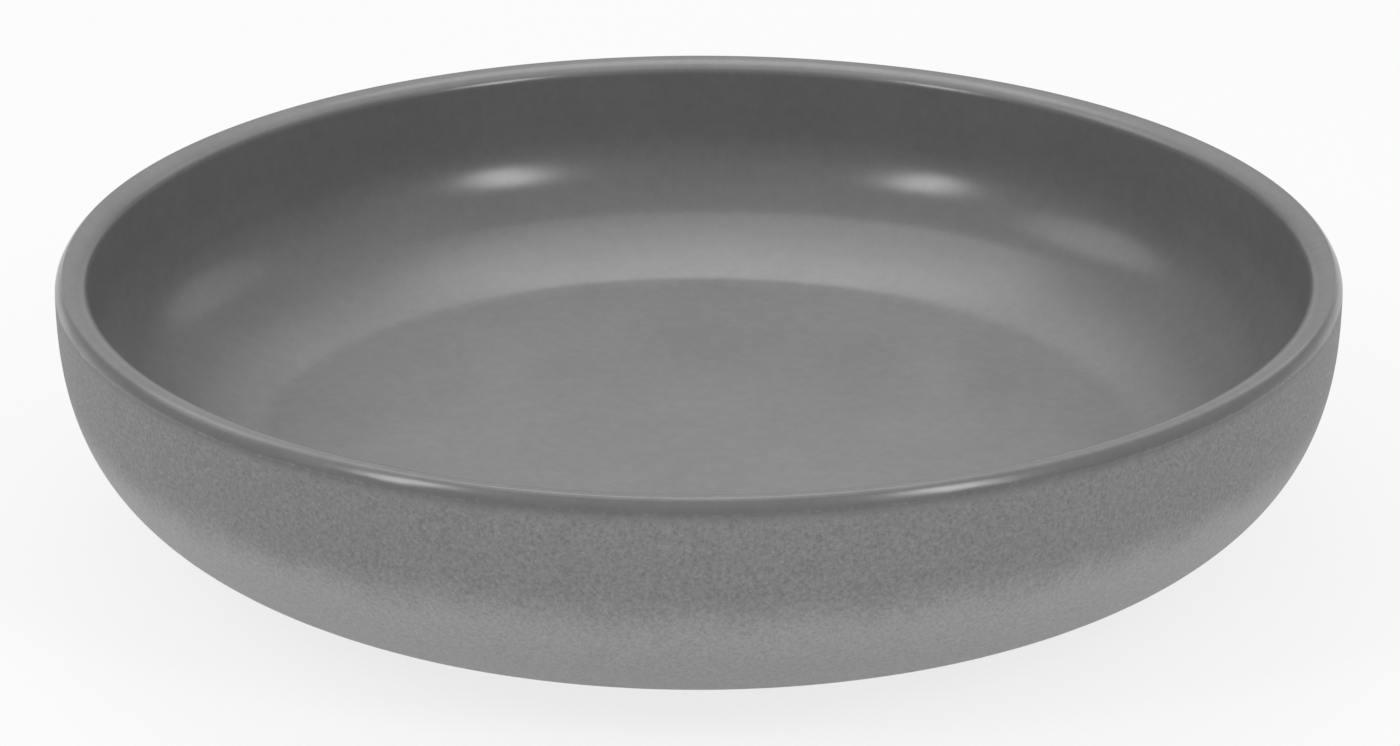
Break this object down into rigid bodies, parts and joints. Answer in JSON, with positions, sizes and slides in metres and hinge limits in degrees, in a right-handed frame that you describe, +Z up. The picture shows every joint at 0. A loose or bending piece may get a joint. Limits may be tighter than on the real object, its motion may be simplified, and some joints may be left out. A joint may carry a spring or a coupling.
{
  "type": "soup plate",
  "caption": "Round coupe soup plate in grey stoneware, glazed satin inside and matte outside, standing on a bare foot ring; holds soup.",
  "frame": {"origin": "on the table, under the middle of the plate", "axes": "+Z up along the plate's axis of revolution; X and Y are any two level directions, because the plate is round"},
  "size_m": [0.21, 0.21, 0.045],
  "materials": {
    "stoneware": "bare fired clay, dry and matte",
    "satin_glaze": "satin glaze",
    "matte_glaze": "matte speckled glaze"
  },
  "bodies": {
    "root": {"stoneware_body": "stoneware", "inside_glaze": "satin_glaze", "outside_glaze": "matte_glaze", "underside_glaze": "matte_glaze"}
  },
  "joints": []
}
